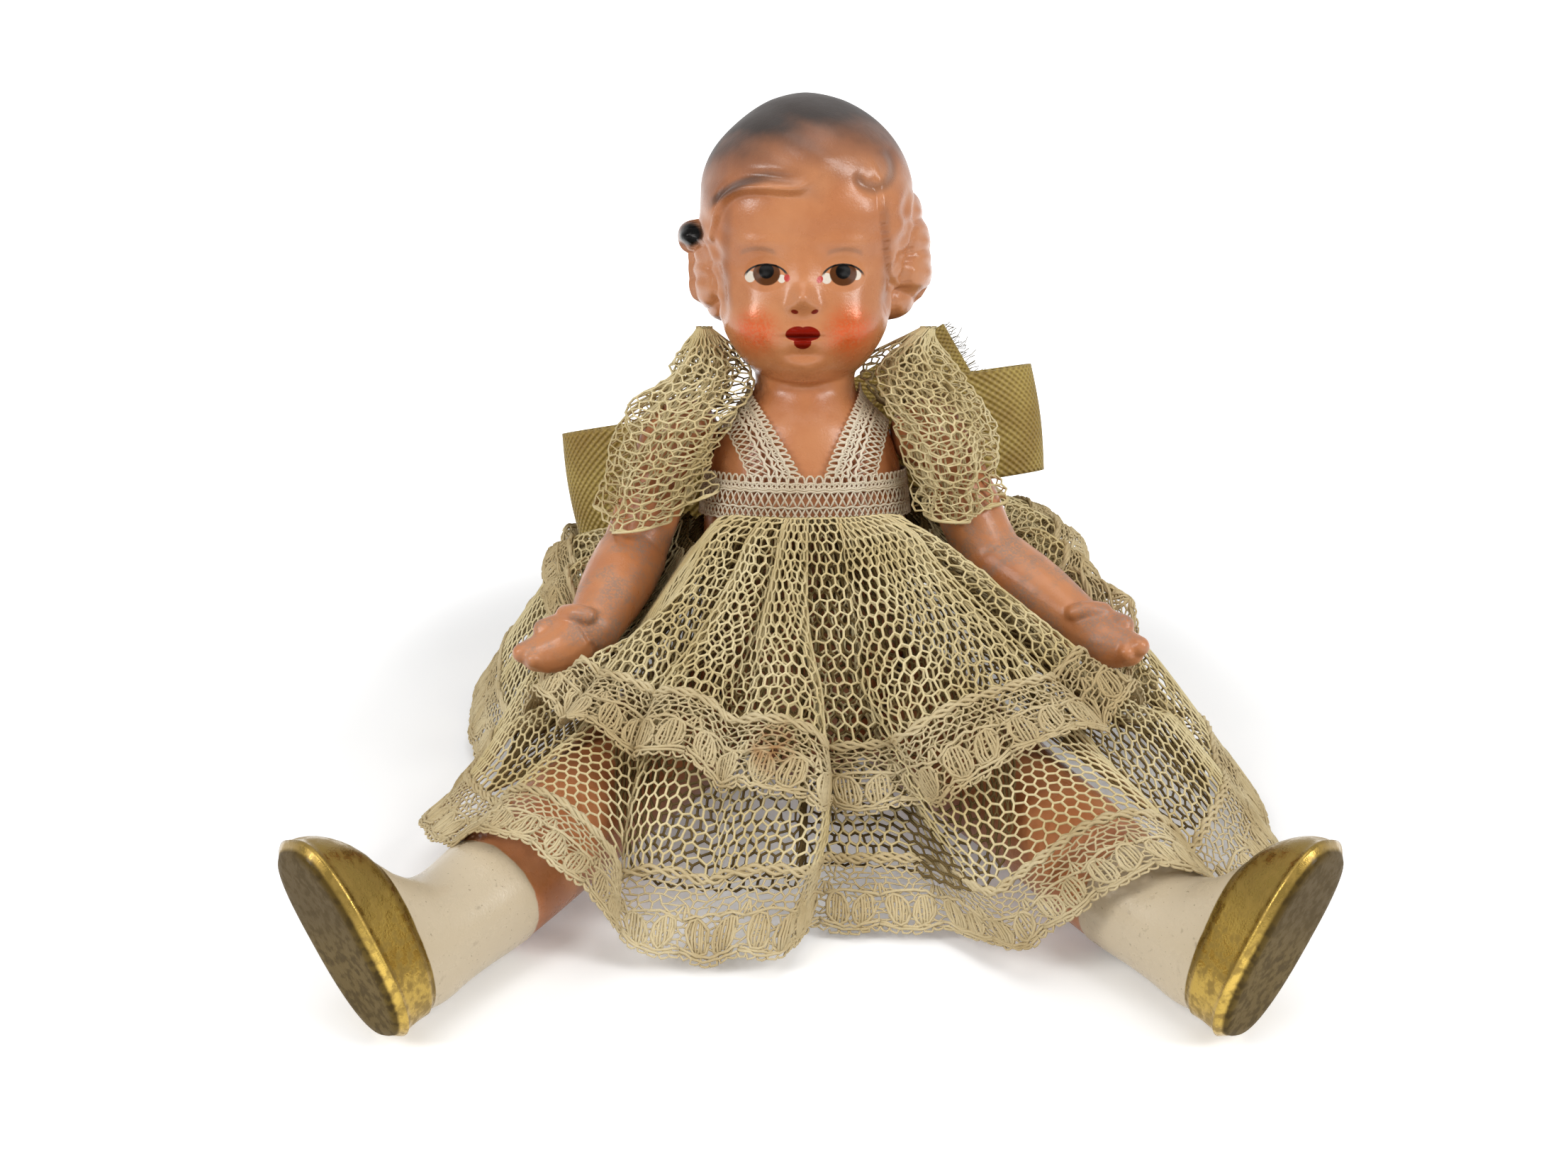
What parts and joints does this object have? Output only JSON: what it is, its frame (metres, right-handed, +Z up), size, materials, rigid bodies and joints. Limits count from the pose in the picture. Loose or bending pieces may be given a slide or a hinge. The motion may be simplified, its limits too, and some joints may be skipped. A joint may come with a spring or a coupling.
{
  "type": "art doll",
  "caption": "Seated strung doll with moulded hair and painted face, turning arms and slanted-hip legs, in a net and lace dress with a ribbon bow.",
  "frame": {"origin": "on the floor, at the middle of the flat on which the body sits", "axes": "+Z up, the doll faces -Y, its own left side is +X"},
  "size_m": [0.1246, 0.1436, 0.0977],
  "materials": {
    "painted_composition": "airbrushed oil paint with a satin varnish over cast wood-pulp composition",
    "steel_wire": "dull drawn wire",
    "elastic": "cotton-covered round elastic",
    "cotton_lace": "bobbin-style cotton lace, aged white",
    "cotton_net": "hexagonal cotton net, yellowed",
    "ribbon": "ribbed ribbon with a dull sheen"
  },
  "bodies": {
    "torso": {"head_and_body": "painted_composition", "arm_elastic": "elastic", "leg_elastic": "elastic", "waistband": "cotton_lace", "left_strap": "cotton_lace", "right_strap": "cotton_lace", "left_sleeve": "cotton_net", "right_sleeve": "cotton_net", "underskirt": "cotton_net", "underskirt_lace": "cotton_lace", "overskirt": "cotton_net", "overskirt_lace": "cotton_lace", "bow_knot": "ribbon", "bow_left_loop": "ribbon", "bow_right_loop": "ribbon", "bow_left_tail": "ribbon", "bow_right_tail": "ribbon"},
    "left_arm": {"left_arm": "painted_composition", "left_arm_hook": "steel_wire"},
    "right_arm": {"right_arm": "painted_composition", "right_arm_hook": "steel_wire"},
    "left_leg": {"left_leg": "painted_composition", "left_leg_hook": "steel_wire"},
    "right_leg": {"right_leg": "painted_composition", "right_leg_hook": "steel_wire"}
  },
  "joints": [
    {"name": "left_shoulder", "type": "hinge", "parent": "torso", "child": "left_arm", "pos_m": [0.0182, 0.01177, 0.04901], "axis": [-1, 0, 0], "range_deg": [0, 130], "deforming": ["left_sleeve", "arm_elastic"]},
    {"name": "right_shoulder", "type": "hinge", "parent": "torso", "child": "right_arm", "pos_m": [-0.0182, 0.01177, 0.04901], "axis": [-1, 0, 0], "range_deg": [0, 130], "deforming": ["right_sleeve", "arm_elastic"]},
    {"name": "left_hip", "type": "hinge", "parent": "torso", "child": "left_leg", "pos_m": [0.012, 0.00257, 0.0107], "axis": [0.9096, -0.097, -0.404], "range_deg": [0, 100], "deforming": ["leg_elastic"]},
    {"name": "right_hip", "type": "hinge", "parent": "torso", "child": "right_leg", "pos_m": [-0.012, 0.00257, 0.0107], "axis": [0.9096, 0.097, 0.404], "range_deg": [0, 100], "deforming": ["leg_elastic"]}
  ]
}
